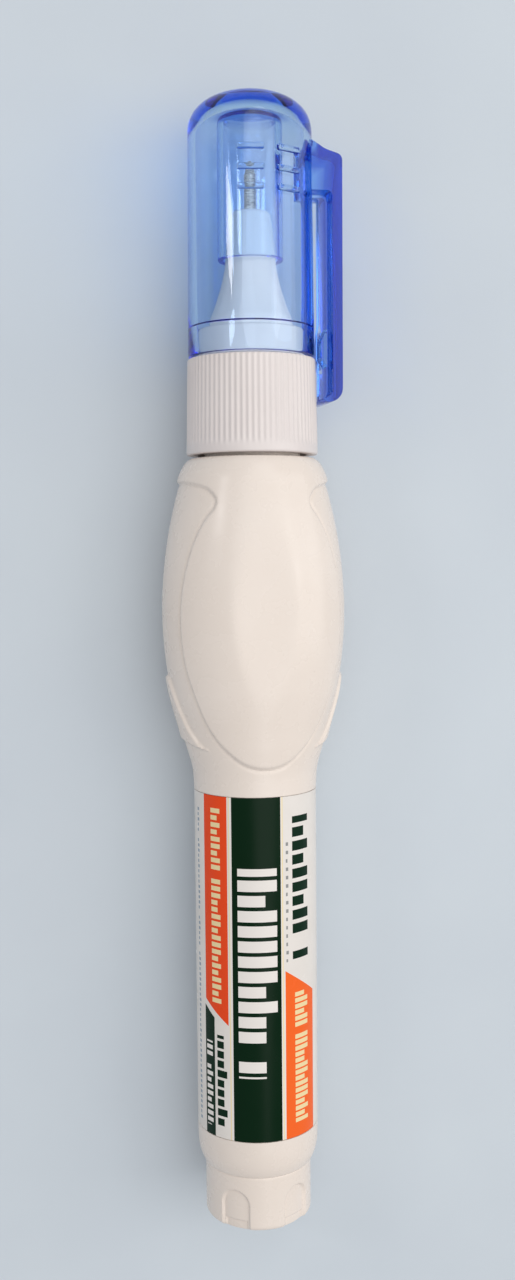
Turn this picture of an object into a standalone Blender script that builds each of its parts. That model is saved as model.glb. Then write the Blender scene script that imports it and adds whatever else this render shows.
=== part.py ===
"""A squeezable correction pen: fluid bottle, sprung needle valve in a metal tip, clear cap with a clip.

Units are metres. Every sub-part is modelled upright on the pen's own axis: heights run from the flat base
end up to the dome of the cap, +X is the clip side and -Y is the front. One empty lays the pen down, so that
the cap points along +Y, the clip along +X and the front faces up, with the lowest point on Z = 0.
"""

import math

import bmesh
import bpy
from mathutils import Matrix, Vector

# Driving dimensions of the outside
LENGTH = 0.1320
BARREL_R = 0.00725
BULGE_HALF_WIDTH = 0.0108
OVALITY = 0.56  # how much of the bulge's extra width is also extra thickness
BASE_R = 0.00635
BASE_HEIGHT = 0.0066
BARREL_TOP = 0.0520
SHOULDER_TOP = 0.0907
SHOULDER_R = 0.0073
CAP_RIM = 0.1023
CAP_RIM_R = 0.00735
CAP_TOP_R = 0.00715
CAP_STRAIGHT_TOP = 0.1275
COLLAR_BOTTOM = 0.0910
COLLAR_TOP = 0.1020
COLLAR_TOP_R = 0.00745
COLLAR_BOTTOM_R = 0.00766

# Bottle
WALL = 0.0009
PANEL_RELIEF = 0.00022
PANEL_GAP = 0.0003
PANEL_CROWN = 0.0091  # the squeeze panels are flattened at this distance from the axis
BULGE = (  # height and half-width of the oval part, from the barrel to the shoulder
    (BARREL_TOP, BARREL_R),
    (0.0575, 0.0085),
    (0.0635, 0.0101),
    (0.0733, BULGE_HALF_WIDTH),
    (0.0810, 0.0101),
    (0.0878, 0.0087),
)
BULGE_RINGS = 13
NECK_R = 0.0056
NECK_BORE_R = 0.0047
NECK_TOP = 0.0995
PANEL_ROOT = 0.0015  # how near to the pen's axis the panel's cut starts
PANEL_OUTLINE = (  # height and half-width of the squeeze panel, from its tip to its top corner
    (0.0552, 0.0),
    (0.0558, 0.0025),
    (0.0584, 0.0054),
    (0.0636, 0.0079),
    (0.0702, 0.0091),
    (0.0780, 0.0084),
    (0.0836, 0.0062),
    (0.0853, 0.0044),
)
BROW = ((0.0086, 0.0890), (0.0081, 0.0898), (SHOULDER_R, 0.0904))  # half-width and height over the shoulder
INNER_BROW = (0.0074, 0.0885)

# Thread between the neck and the collar
THREAD_PITCH = 0.0030
THREAD_TURNS = 1.5
THREAD_WIRE_R = 0.00042
THREAD_START = 0.0938
COLLAR_BORE_R = 0.0064

# Label
LABEL_BOTTOM = 0.0113
LABEL_TOP = 0.0518
LABEL_FILM = 0.00012
LABEL_GAP = 0.00008

# Nozzle and valve
NOZZLE_TOP = 0.1187
CHAMBER_R = 0.0024
CHAMBER_BOTTOM = 0.1020
CHAMBER_TOP = 0.1104
PLUG_R = 0.0045
PLUG_BORE_R = 0.0034
PLUG_BOTTOM = 0.0968
SEAT_RING_R = 0.00615
TIP_R = 0.00068
TIP_TOP = 0.1242
TIP_BOTTOM = 0.1112
TIP_BORE_R = 0.00045
NEEDLE_R = 0.00025
NEEDLE_TOP = 0.1245
NEEDLE_HEAD = 0.1094
NEEDLE_TAIL = 0.1050
SPRING_R = 0.00135
SPRING_WIRE_R = 0.00018
SPRING_TURNS = 6
STOP_BOTTOM = 0.1022
STOP_TOP = 0.1038
STOP_HOLES = 4
STOP_HOLE_R = 0.0005
STOP_HOLE_CIRCLE_R = 0.00145
SPRING_SEAT_GAP = 0.00005

# Cap
CAP_WALL = 0.0012
CAP_BORE_R = 0.0064
CAP_BORE_TOP = 0.1057
SEAL_TUBE_RIM = 0.1132
SEAL_TUBE_R = 0.0038
SEAL_TUBE_BORE_R = 0.00305
CLIP_REACH = 0.0102
CLIP_TOP = 0.1250
CLIP_BEND_REACH = 0.0082
CLIP_ROOT_BOTTOM = 0.1206
CLIP_END = 0.0970
CLIP_FLANGE = 0.00125
CLIP_WIDTH = 0.0062
CLIP_WEB = 0.0012
CLIP_GAP = 0.00035
GRIP_BAR = Vector((0.0030, 0.0007, 0.00085))
GRIP_BAR_HEIGHTS = (0.1200, 0.1221, 0.1243)
GRIP_BAR_TURNS = (-9, 27)  # degrees round from the front, towards the clip

# Mixing balls
BALL_R = 0.0023
BALL_HEIGHT = 0.0320
BALL_SIDE = 0.00245
BALL_DEPTH = 0.0027

ROUND = 48  # facets round the large turned pieces
SMALL_ROUND = 20
CUT_SPARE = 0.002  # how far a cutter runs past what it cuts
LYING_HEIGHT = PANEL_CROWN
SHARP_ANGLE = math.radians(32)


def clear_scene():
    for leftover in list(bpy.data.objects):
        bpy.data.objects.remove(leftover, do_unlink=True)


def new_collection(name):
    made = bpy.data.collections.new(name)
    bpy.context.scene.collection.children.link(made)
    return made


def plastic(name, color, roughness, metallic=0.0, alpha=1.0):
    made = bpy.data.materials.new(name)
    made.use_nodes = True
    shader = made.node_tree.nodes["Principled BSDF"]
    shader.inputs["Base Color"].default_value = (*color, 1.0)
    shader.inputs["Roughness"].default_value = roughness
    shader.inputs["Metallic"].default_value = metallic
    shader.inputs["Alpha"].default_value = alpha
    return made


def add_object(name, data, collection, axis):
    """Link an object on the pen's axis, standing on the base end."""
    made = bpy.data.objects.new(name, data)
    collection.objects.link(made)
    made.parent = axis
    return made


def add_cutter(name, data, axis):
    made = add_object(name, data, CUTTERS, axis)
    made.hide_render = True
    made.display_type = "WIRE"
    return made


def finish_part(part, material):
    """Give a part its material, and round shading that breaks at its edges."""
    part.data.materials.append(material)
    if part.type == "MESH":
        part.data.shade_smooth()
        part.data.set_sharp_from_angle(angle=SHARP_ANGLE)
    return part


def boolean(part, other, operation):
    step = part.modifiers.new(f"{operation.lower()}_{other.name}", "BOOLEAN")
    step.operation = operation
    step.object = other
    step.solver = "EXACT"


def corner_arc(before, corner, after, radius, steps=2):
    """Points of a rounded corner that is tangent to both of its sides."""
    corner = Vector(corner)
    back = (Vector(before) - corner).normalized()
    ahead = (Vector(after) - corner).normalized()
    half = back.angle(ahead) / 2
    setback = radius / math.tan(half)
    start, end = corner + back * setback, corner + ahead * setback
    centre = corner + (back + ahead).normalized() * radius / math.sin(half)
    sweep = (start - centre).angle_signed(end - centre)
    turn = [Matrix.Rotation(-sweep * i / steps, 2) for i in range(steps + 1)]
    return [centre + step @ (start - centre) for step in turn]


def rounded_outline(corners, closed=False):
    """(x, y) points of an outline whose corners are (x, y) or (x, y, radius)."""
    points = []
    last = len(corners) - 1
    for i, corner in enumerate(corners):
        open_end = not closed and i in (0, last)
        if len(corner) == 2 or open_end:
            points.append(Vector(corner[:2]))
        else:
            before, after = corners[i - 1][:2], corners[(i + 1) % len(corners)][:2]
            points += corner_arc(before, corner[:2], after, corner[2])
    return points


def turned(name, outline, collection, axis, closed=False, segments=ROUND):
    """A Screw round the axis over (radius, height) points that run down the outer side first."""
    edges = [(i, i + 1) for i in range(len(outline) - 1)]
    if closed:
        edges.append((len(outline) - 1, 0))
    mesh = bpy.data.meshes.new(name)
    mesh.from_pydata([(radius, 0, height) for radius, height in outline], edges, [])
    part = add_object(name, mesh, collection, axis)
    screw = part.modifiers.new("turn", "SCREW")
    screw.axis = "Z"
    screw.angle = math.tau
    screw.steps = screw.render_steps = segments
    screw.use_merge_vertices = True
    screw.merge_threshold = 1e-6
    screw.use_smooth_shade = True
    return part


def smooth_between(stations, at):
    """The value at one place on a smooth curve through (place, value) stations."""
    places = [place for place, _ in stations]
    values = [value for _, value in stations]
    slopes = [(values[i + 1] - values[i]) / (places[i + 1] - places[i]) for i in range(len(places) - 1)]
    tangents = [slopes[0]]
    for left, right in zip(slopes, slopes[1:]):
        tangents.append(0.0 if left * right <= 0 else 2 * left * right / (left + right))
    tangents.append(slopes[-1])
    i = max(k for k in range(len(slopes)) if k == 0 or at >= places[k])
    span = places[i + 1] - places[i]
    t = (at - places[i]) / span
    rise = values[i + 1] - values[i]
    bend_in = span * tangents[i] - rise
    bend_out = rise - span * tangents[i + 1]
    return values[i] + t * rise + t * (1 - t) * (bend_in * (1 - t) + bend_out * t)


def flattened(depth):
    return max(-PANEL_CROWN, min(PANEL_CROWN, depth))


def oval_loft(name, rings):
    """A closed solid through oval rings of (half_width, half_thickness, height), flat at both ends."""
    shape = bmesh.new()
    loops = []
    for half_width, half_thickness, height in rings:
        turns = [math.tau * i / ROUND for i in range(ROUND)]
        places = [(half_width * math.cos(a), flattened(half_thickness * math.sin(a)), height) for a in turns]
        loops.append([shape.verts.new(place) for place in places])
    for lower, upper in zip(loops, loops[1:]):
        for i in range(ROUND):
            j = (i + 1) % ROUND
            shape.faces.new((lower[i], lower[j], upper[j], upper[i]))
    shape.faces.new(loops[0])
    shape.faces.new(loops[-1])
    bmesh.ops.recalc_face_normals(shape, faces=shape.faces)
    mesh = bpy.data.meshes.new(name)
    shape.to_mesh(mesh)
    shape.free()
    return mesh


def prism_mesh(name, points, depth_from, depth_to):
    """A flat outline of (x, height) points, stretched along Y into a closed solid."""
    shape = bmesh.new()
    base = [shape.verts.new((x, depth_from, height)) for x, height in points]
    face = shape.faces.new(base)
    grown = bmesh.ops.extrude_face_region(shape, geom=[face])
    moved = [item for item in grown["geom"] if isinstance(item, bmesh.types.BMVert)]
    bmesh.ops.translate(shape, verts=moved, vec=(0, depth_to - depth_from, 0))
    bmesh.ops.recalc_face_normals(shape, faces=shape.faces)
    mesh = bpy.data.meshes.new(name)
    shape.to_mesh(mesh)
    shape.free()
    return mesh


def box_mesh(name, size, centre):
    shape = bmesh.new()
    bmesh.ops.create_cube(shape, size=1.0, matrix=Matrix.LocRotScale(centre, None, size))
    mesh = bpy.data.meshes.new(name)
    shape.to_mesh(mesh)
    shape.free()
    return mesh


def helix_curve(name, radius, start, pitch, turns, wire_radius, points_per_turn, first_turn=0.0):
    count = round(turns * points_per_turn) + 1
    curve = bpy.data.curves.new(name, "CURVE")
    curve.dimensions = "3D"
    curve.bevel_depth = wire_radius
    curve.bevel_resolution = 2
    curve.use_fill_caps = True
    spline = curve.splines.new("POLY")
    spline.points.add(count - 1)
    for i, point in enumerate(spline.points):
        turn = i / points_per_turn
        angle = math.tau * (turn + first_turn)
        point.co = (radius * math.cos(angle), radius * math.sin(angle), start + pitch * turn, 1)
    return curve


def mesh_from_curve(name, curve):
    """The solid of a bevelled curve as a mesh, with its end caps welded on."""
    guide = bpy.data.objects.new(name, curve)
    CUTTERS.objects.link(guide)
    bpy.context.view_layer.update()
    graph = bpy.context.evaluated_depsgraph_get()
    mesh = bpy.data.meshes.new_from_object(guide.evaluated_get(graph))
    bpy.data.objects.remove(guide)
    shape = bmesh.new()
    shape.from_mesh(mesh)
    bmesh.ops.remove_doubles(shape, verts=shape.verts, dist=1e-6)
    bmesh.ops.recalc_face_normals(shape, faces=shape.faces)
    shape.to_mesh(mesh)
    shape.free()
    return mesh


def half_thickness(half_width):
    return BARREL_R + OVALITY * (half_width - BARREL_R)


def base_outline():
    """(radius, height) up the stepped base and its rounded shoulder to the barrel."""
    step = BASE_HEIGHT
    corners = ((0, 0), (BASE_R, 0, 0.0005), (BASE_R, step, 0.0003), (BARREL_R, step + 0.0012, 0.0013))
    outline = rounded_outline(corners + ((BARREL_R, LABEL_BOTTOM - LABEL_GAP),))
    return [(point.x, point.y) for point in outline[1:]]


def bulge_heights():
    top = BULGE[-1][0]
    return [BARREL_TOP + (top - BARREL_TOP) * i / (BULGE_RINGS - 1) for i in range(BULGE_RINGS)]


def bottle_rings(relief=0.0):
    """Rings up the outside of the bottle to the neck's rim, then down the inside to its floor."""
    rings = [(radius, radius, height) for radius, height in base_outline()]
    seat = BARREL_R - LABEL_FILM - LABEL_GAP
    rings += [(seat, seat, LABEL_BOTTOM - LABEL_GAP), (seat, seat, LABEL_TOP + LABEL_GAP)]
    for height in bulge_heights():
        half_width = smooth_between(BULGE, height)
        rings.append((half_width + relief, half_thickness(half_width) + relief, height))
    rings += [(r + relief, half_thickness(r) + relief, height) for r, height in BROW]
    rings += [(SHOULDER_R - 0.0004, SHOULDER_R - 0.0004, SHOULDER_TOP), (NECK_R, NECK_R, SHOULDER_TOP)]
    rings += [(NECK_R, NECK_R, NECK_TOP), (NECK_BORE_R, NECK_BORE_R, NECK_TOP)]
    rings += [(NECK_BORE_R, NECK_BORE_R, SHOULDER_TOP - WALL)]
    brow_r, brow_height = INNER_BROW
    rings += [(brow_r, half_thickness(brow_r + WALL) - WALL, brow_height)]
    for height in reversed(bulge_heights()[1:-1:2]):
        half_width = smooth_between(BULGE, height)
        rings.append((half_width - WALL, half_thickness(half_width) - WALL, height))
    inner_barrel, inner_base = seat - WALL, BASE_R - WALL
    rings += [(inner_barrel, inner_barrel, BARREL_TOP), (inner_barrel, inner_barrel, BASE_HEIGHT + 0.0022)]
    rings += [(inner_base, inner_base, BASE_HEIGHT), (inner_base, inner_base, WALL + 0.0006)]
    rings += [(inner_base - 0.0006, inner_base - 0.0006, WALL)]
    return rings


def panel_points(grow):
    """The closed outline of a squeeze panel, as (x, height), moved outwards by grow."""
    tip, *side = PANEL_OUTLINE
    outline = [Vector((x, height)) for height, x in side]
    outline += [Vector((-x, height)) for height, x in reversed(side)]
    outline.append(Vector((tip[1], tip[0])))
    rounded = []
    count = len(outline)
    for i in range(count):
        before, start, end, after = (outline[(i + k) % count] for k in (-1, 0, 1, 2))
        for t in (0.0, 1 / 3, 2 / 3):
            blend = start + 0.5 * t * (end - before)
            blend += 0.5 * t * t * (2 * before - 5 * start + 4 * end - after)
            blend += 0.5 * t * t * t * (3 * start - before - 3 * end + after)
            rounded.append(blend)
    if not grow:
        return rounded
    centre = sum(rounded, Vector((0, 0))) / len(rounded)
    return [point + (point - centre).normalized() * grow for point in rounded]


def thread(name, radius, first_turn, axis):
    curve = helix_curve(name, radius, THREAD_START, THREAD_PITCH, THREAD_TURNS, THREAD_WIRE_R, 14, first_turn)
    return add_cutter(name, mesh_from_curve(f"{name}_guide", curve), axis)


def make_bottle(axis):
    bottle = add_object("bottle", oval_loft("bottle", bottle_rings()), PEN, axis)
    boolean(bottle, thread("neck_thread", NECK_R, 0.0, axis), "UNION")
    for side, facing in (("front", -1), ("back", 1)):
        near, far = facing * PANEL_ROOT, facing * (BULGE_HALF_WIDTH + CUT_SPARE)
        opening = prism_mesh(f"{side}_opening", panel_points(PANEL_GAP), near, far)
        boolean(bottle, add_cutter(f"{side}_opening", opening, axis), "DIFFERENCE")
    return finish_part(bottle, BOTTLE_WHITE)


def make_squeeze_walls(axis):
    """The two flexing faces of the bulge, each a little prouder than the wall around it."""
    for side, facing in (("front", -1), ("back", 1)):
        solid = oval_loft(f"{side}_wall", bottle_rings(PANEL_RELIEF))
        wall = add_object(f"{side}_squeeze_wall", solid, PEN, axis)
        near, far = facing * PANEL_ROOT, facing * (BULGE_HALF_WIDTH + CUT_SPARE)
        outline = prism_mesh(f"{side}_outline", panel_points(0.0), near, far)
        boolean(wall, add_cutter(f"{side}_outline", outline, axis), "INTERSECT")
        finish_part(wall, BOTTLE_WHITE)


def make_label(axis):
    inner = BARREL_R - LABEL_FILM
    outline = ((BARREL_R, LABEL_TOP), (BARREL_R, LABEL_BOTTOM), (inner, LABEL_BOTTOM), (inner, LABEL_TOP))
    finish_part(turned("label", outline, PEN, axis, closed=True), LABEL_PRINT)


def nozzle_outline():
    """Down the outside of the nozzle and its collar, and back up through the bores."""
    flare = ((0.00257, 0.1165), (0.00277, 0.1146), (0.00292, 0.1125), (0.0035, 0.1101), (0.00425, 0.1079))
    outside = ((0.0008, NOZZLE_TOP), (0.00233, NOZZLE_TOP, 0.0007), *flare, (0.00494, 0.1066, 0.0002))
    seat = ((0.00494, 0.1057), (SEAT_RING_R, 0.1054, 0.0003), (SEAT_RING_R, COLLAR_TOP + 0.0002))
    collar = ((COLLAR_TOP_R, COLLAR_TOP, 0.0002), (COLLAR_BOTTOM_R, COLLAR_BOTTOM, 0.0002))
    ceiling = NECK_TOP + PANEL_GAP
    inside = ((COLLAR_BORE_R, COLLAR_BOTTOM), (COLLAR_BORE_R, ceiling), (PLUG_R, ceiling))
    plug = ((PLUG_R, PLUG_BOTTOM), (PLUG_BORE_R, PLUG_BOTTOM), (PLUG_BORE_R, CHAMBER_BOTTOM))
    chamber = ((CHAMBER_R, CHAMBER_BOTTOM), (CHAMBER_R, CHAMBER_TOP), (0.0008, CHAMBER_TOP))
    return rounded_outline(outside + seat + collar + inside + plug + chamber, closed=True)


def make_nozzle(axis):
    nozzle = turned("nozzle", nozzle_outline(), PEN, axis, closed=True)
    ridge = thread("collar_thread", COLLAR_BORE_R, 0.5, axis)
    boolean(nozzle, ridge, "UNION")
    return finish_part(nozzle, NOZZLE_WHITE)


def make_valve(axis):
    """Metal tip, the needle that closes it, the spring behind the needle, and the spring's stop."""
    mouth_r = NEEDLE_R + 0.00005
    nose = ((mouth_r, TIP_TOP), (0.0005, TIP_TOP, 0.00008), (0.00056, TIP_TOP - 0.0010))
    wall = ((TIP_R, TIP_TOP - 0.0013), (TIP_R, TIP_BOTTOM), (TIP_BORE_R, TIP_BOTTOM))
    seat = ((TIP_BORE_R, TIP_TOP - 0.0012), (mouth_r, TIP_TOP - 0.0006))
    tube = rounded_outline(nose + wall + seat, closed=True)
    finish_part(turned("tip_tube", tube, PEN, axis, closed=True, segments=SMALL_ROUND), STEEL)

    head_r, head_height, tail_r = 0.0018, 0.0006, 0.0004
    rod = ((0, NEEDLE_TOP), (NEEDLE_R, NEEDLE_TOP, 0.0001), (NEEDLE_R, NEEDLE_HEAD + head_height))
    head = ((head_r, NEEDLE_HEAD + head_height, 0.0001), (head_r, NEEDLE_HEAD, 0.0001), (tail_r, NEEDLE_HEAD))
    guide = ((tail_r, NEEDLE_TAIL, 0.0001), (0, NEEDLE_TAIL))
    needle = turned("valve_needle", rounded_outline(rod + head + guide), PEN, axis, segments=SMALL_ROUND)
    finish_part(needle, STEEL)

    seat = STOP_TOP + SPRING_WIRE_R + SPRING_SEAT_GAP
    height = NEEDLE_HEAD - SPRING_WIRE_R - SPRING_SEAT_GAP - seat
    coil = helix_curve("valve_spring", SPRING_R, seat, height / SPRING_TURNS, SPRING_TURNS, SPRING_WIRE_R, 12)
    finish_part(add_object("valve_spring", coil, PEN, axis), SPRING_STEEL)

    stop_r, stop_bore = CHAMBER_R - 0.0001, 0.00055
    rim = ((stop_r, STOP_TOP, 0.0002), (stop_r, STOP_BOTTOM, 0.0002))
    disc = rounded_outline((*rim, (stop_bore, STOP_BOTTOM), (stop_bore, STOP_TOP)), closed=True)
    stop = turned("spring_stop", disc, PEN, axis, closed=True, segments=SMALL_ROUND)
    deep = STOP_TOP - STOP_BOTTOM + 2 * CUT_SPARE
    for i in range(STOP_HOLES):
        hole = bmesh.new()
        turn = Matrix.Rotation(math.tau * i / STOP_HOLES, 4, "Z")
        place = turn @ Matrix.Translation((STOP_HOLE_CIRCLE_R, 0, (STOP_TOP + STOP_BOTTOM) / 2))
        radii = {"radius1": STOP_HOLE_R, "radius2": STOP_HOLE_R}
        bmesh.ops.create_cone(hole, cap_ends=True, segments=12, depth=deep, matrix=place, **radii)
        mesh = bpy.data.meshes.new(f"flow_hole_{i + 1}")
        hole.to_mesh(mesh)
        hole.free()
        boolean(stop, add_cutter(mesh.name, mesh, axis), "DIFFERENCE")
    finish_part(stop, NOZZLE_WHITE)


def dome(radius, foot, top, to_radius=0.0, steps=6, power=2.35):
    """Points over a flattened dome from its foot up to to_radius, as (radius, height)."""
    points = []
    last = math.acos((to_radius / radius) ** (power / 2))
    for i in range(steps + 1):
        turn = last * i / steps
        across = radius * math.cos(turn) ** (2 / power)
        points.append((across, foot + (top - foot) * math.sin(turn) ** (2 / power)))
    return points


def cap_outline():
    """Down the dome and the outside, in at the rim, up the bore, then round the seal tube to the axis."""
    outside = list(reversed(dome(CAP_TOP_R, CAP_STRAIGHT_TOP, LENGTH)))
    rim = [(CAP_RIM_R, CAP_RIM), (CAP_BORE_R, CAP_RIM), (CAP_BORE_R, CAP_BORE_TOP)]
    ledge = [(CAP_RIM_R - CAP_WALL, CAP_BORE_TOP)]
    inside = dome(CAP_TOP_R - CAP_WALL, CAP_STRAIGHT_TOP, LENGTH - CAP_WALL, to_radius=SEAL_TUBE_R + 0.0001)
    tube = [(SEAL_TUBE_R, SEAL_TUBE_RIM), (SEAL_TUBE_BORE_R, SEAL_TUBE_RIM)]
    tube += [(SEAL_TUBE_BORE_R - 0.0001, 0.1297)]
    return outside + rim + ledge + inside + tube + [(0, LENGTH - CAP_WALL)]


def clip_outline():
    """The clip's side profile: the root on the cap, the rounded free end, and the nub that grips cloth."""
    inner = CAP_RIM_R + CLIP_GAP
    relieved = inner + 0.0002
    buried = CAP_TOP_R - 0.0007
    root = [(buried, CLIP_ROOT_BOTTOM), (buried, CLIP_TOP + 0.0015)]
    root += [(CLIP_BEND_REACH, CLIP_TOP + 0.0005), (CLIP_REACH, CLIP_TOP - 0.0001, 0.0008)]
    end = [(CLIP_REACH, CLIP_END, 0.0016), (relieved, CLIP_END, 0.0005)]
    nub = [(relieved, 0.1014), (inner, 0.1026), (inner, 0.1050), (relieved, 0.1062)]
    return rounded_outline(root + end + nub + [(relieved, CLIP_ROOT_BOTTOM)], closed=True)


def make_clip(axis):
    """A block of the side profile, hollowed from both sides to a plate on a thin web."""
    block = prism_mesh("clip", clip_outline(), -CLIP_WIDTH / 2, CLIP_WIDTH / 2)
    clip = add_cutter("clip", block, axis)
    near, far = CAP_RIM_R - 0.002, CLIP_REACH - CLIP_FLANGE
    low, high = CLIP_END - 0.002, CLIP_ROOT_BOTTOM
    pocket = rounded_outline([(near, low), (near, high), (far, high, 0.0006), (far, low)], closed=True)
    for side in (-1, 1):
        mesh = prism_mesh(f"clip_pocket_{side + 2}", pocket, side * CLIP_WEB / 2, side * CLIP_WIDTH)
        boolean(clip, add_cutter(mesh.name, mesh, axis), "DIFFERENCE")
    return clip


def make_cap(axis):
    cap = turned("cap", cap_outline(), PEN, axis)
    boolean(cap, make_clip(axis), "UNION")
    for number, turn in enumerate(GRIP_BAR_TURNS, start=1):
        for height in GRIP_BAR_HEIGHTS:
            centre = Vector((0, -CAP_TOP_R - GRIP_BAR.y / 2 + 0.0005, height))
            bar = box_mesh(f"grip_bar_{number}_{round(height * 1e4)}", GRIP_BAR, centre)
            bar.transform(Matrix.Rotation(math.radians(turn), 4, "Z"))
            boolean(cap, add_cutter(bar.name, bar, axis), "UNION")
    return finish_part(cap, CLEAR_BLUE)


def make_balls(axis):
    for number, side in ((1, -1), (2, 1)):
        shape = bmesh.new()
        bmesh.ops.create_uvsphere(shape, u_segments=16, v_segments=10, radius=BALL_R)
        mesh = bpy.data.meshes.new(f"mixing_ball_{number}")
        shape.to_mesh(mesh)
        shape.free()
        ball = add_object(mesh.name, mesh, PEN, axis)
        ball.location = (side * BALL_SIDE, BALL_DEPTH, BALL_HEIGHT)
        finish_part(ball, STEEL)


clear_scene()
PEN = new_collection("correction_pen")
CUTTERS = new_collection("cutters")
BOTTLE_WHITE = plastic("bottle_white", (0.86, 0.85, 0.81), 0.32)
NOZZLE_WHITE = plastic("nozzle_white", (0.82, 0.81, 0.80), 0.42)
CLEAR_BLUE = plastic("clear_blue", (0.05, 0.22, 0.75), 0.08, alpha=0.45)
LABEL_PRINT = plastic("label_print", (0.90, 0.89, 0.86), 0.30)
STEEL = plastic("steel", (0.62, 0.60, 0.58), 0.22, metallic=1.0)
SPRING_STEEL = plastic("spring_steel", (0.55, 0.55, 0.56), 0.30, metallic=1.0)

pen_axis = bpy.data.objects.new("pen_axis", None)
PEN.objects.link(pen_axis)
pen_axis.location = (0, -LENGTH / 2, LYING_HEIGHT)
pen_axis.rotation_euler = (-math.pi / 2, 0, 0)

make_bottle(pen_axis)
make_squeeze_walls(pen_axis)
make_label(pen_axis)
make_nozzle(pen_axis)
make_valve(pen_axis)
make_cap(pen_axis)
make_balls(pen_axis)
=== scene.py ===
"""Looks of a squeezable correction pen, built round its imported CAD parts.

Shapes are worked out in millimetres in the pen's own frame: x towards the clip, height up from the base end,
and z towards the front. place() turns them into metres in the row frame, where the pen lies on its back and
height runs along +Y.
"""

import math

import bmesh
import bpy
import numpy as np
from mathutils import Matrix, Vector


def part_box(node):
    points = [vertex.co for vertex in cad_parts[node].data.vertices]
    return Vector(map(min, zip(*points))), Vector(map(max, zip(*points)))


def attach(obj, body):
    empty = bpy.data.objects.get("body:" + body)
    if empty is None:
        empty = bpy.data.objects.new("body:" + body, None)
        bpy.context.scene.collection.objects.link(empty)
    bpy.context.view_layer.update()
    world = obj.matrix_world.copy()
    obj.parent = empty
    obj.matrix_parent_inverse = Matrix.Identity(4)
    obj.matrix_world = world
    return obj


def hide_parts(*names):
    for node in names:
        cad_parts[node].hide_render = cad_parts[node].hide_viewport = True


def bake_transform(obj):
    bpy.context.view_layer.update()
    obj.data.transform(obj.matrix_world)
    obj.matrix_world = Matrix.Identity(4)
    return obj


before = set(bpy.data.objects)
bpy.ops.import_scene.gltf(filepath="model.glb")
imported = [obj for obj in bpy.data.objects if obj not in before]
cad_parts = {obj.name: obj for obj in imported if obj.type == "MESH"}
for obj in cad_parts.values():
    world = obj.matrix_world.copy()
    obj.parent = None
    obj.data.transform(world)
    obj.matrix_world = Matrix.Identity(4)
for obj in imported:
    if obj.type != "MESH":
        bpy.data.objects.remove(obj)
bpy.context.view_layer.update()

MM = 0.001
BASE_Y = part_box("bottle")[0].y
AXIS_Z = (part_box("label")[0].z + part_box("label")[1].z) / 2

# Bottle and label, in millimetres
LENGTH = 132.0
BARREL_R = 7.25
BARREL_TOP = 51.88
OVALITY = 0.56
BASE_R = 6.35
BASE_TOP = 6.5
BASE_ROUNDING = 0.6
WALL = 0.9
CROWN = 9.1
NECK_R = 5.6
NECK_BORE = 4.7
NECK_TOP = 99.5
SHOULDER_TOP = 90.7
LABEL_BOTTOM = 11.3
LABEL_TOP = 51.8
LABEL_FILM = 0.12

# Relief on the bottle: the raised panel with the groove at its foot, the side petals, and the base's arches
RELIEF = 0.34
FOOT_GROOVE = 0.09
PETAL_RELIEF = 0.36
ARCH_DEPTH = 0.32
ARCH_R = 1.78
ARCH_SPRING = 2.95
ARCH_TURN = 36.0
LEDGE_DEPTH = 0.22
LEDGE_TOP = 1.05
LEDGE_HALF_WIDTH = 1.5

# Nozzle and collar
COLLAR_BOTTOM = 91.0
COLLAR_TOP = 102.0
COLLAR_R = 7.45
COLLAR_TAPER = 0.021
COLLAR_BORE = 6.4
RIB_COUNT = 72
RIB_DEPTH = 0.13
RIB_START = 92.2
SEAT_R = 6.15
SEAT_TOP = 105.4
CONE = (
    (105.75, 4.94), (106.5, 4.84), (107.9, 4.25), (110.1, 3.5), (112.5, 2.98), (114.6, 2.77), (116.5, 2.57),
    (118.0, 2.40),
)
CONE_END = 118.7
CONE_END_R = 1.75
CONE_ROUNDING = 0.62

# Metal tip, needle and spring
TIP_R = 0.68
TIP_BORE = 0.45
TIP_MOUTH = 0.30
TIP_BOTTOM = 111.2
TIP_END = 124.2
NEEDLE_R = 0.25
NEEDLE_END = 124.5
FLANGE_R = 1.8
SPRING_R = 1.35
WIRE_R = 0.18
SPRING_TURNS = 6

# Cap and clip
CAP_R = 7.15
CAP_FOOT = 102.3
CAP_BORE = 6.25
CAP_DOME_FOOT = 127.5
CAP_POLE_WALL = 1.5
SEAL_TUBE_R = 3.8
SEAL_TUBE_BORE = 3.15
SEAL_TUBE_BOTTOM = 113.2
CLIP_INNER = 7.7
CLIP_RELIEVED = CLIP_INNER + 0.2
CLIP_REACH = 10.2
CLIP_BURIED = 6.6
CLIP_BOTTOM = 97.0
CLIP_ROOT_BOTTOM = 120.6
CLIP_TOP = 124.9
CLIP_HALF_WIDTH = 3.1
CLIP_WEB_HALF = 0.6
CLIP_FLANGE = 1.2
BAR_TURNS = (-9, 27)
BAR_HEIGHTS = (120.0, 122.1, 124.3)
BAR_HALF_LENGTH = 1.5
BAR_HALF_HEIGHT = 0.34

# The bottle's half-width up its belly, as (height, half-width)
HALF_WIDTH = (
    (51.88, 7.25), (53.8, 7.36), (55.0, 7.58), (56.2, 7.93), (57.4, 8.28), (58.6, 8.58), (59.8, 8.90),
    (61.0, 9.24), (62.2, 9.56), (63.4, 9.84), (65.0, 10.12), (67.0, 10.42), (69.3, 10.64), (71.5, 10.76),
    (73.3, 10.78), (76.4, 10.63), (78.8, 10.40), (81.1, 10.08), (83.5, 9.62), (85.8, 9.08), (87.4, 8.66),
    (88.5, 8.36), (89.2, 8.06), (89.85, 7.70), (90.3, 7.32), (90.55, 6.95),
)

# Columns of points round each half of the bottle
COLUMNS = 241

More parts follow.
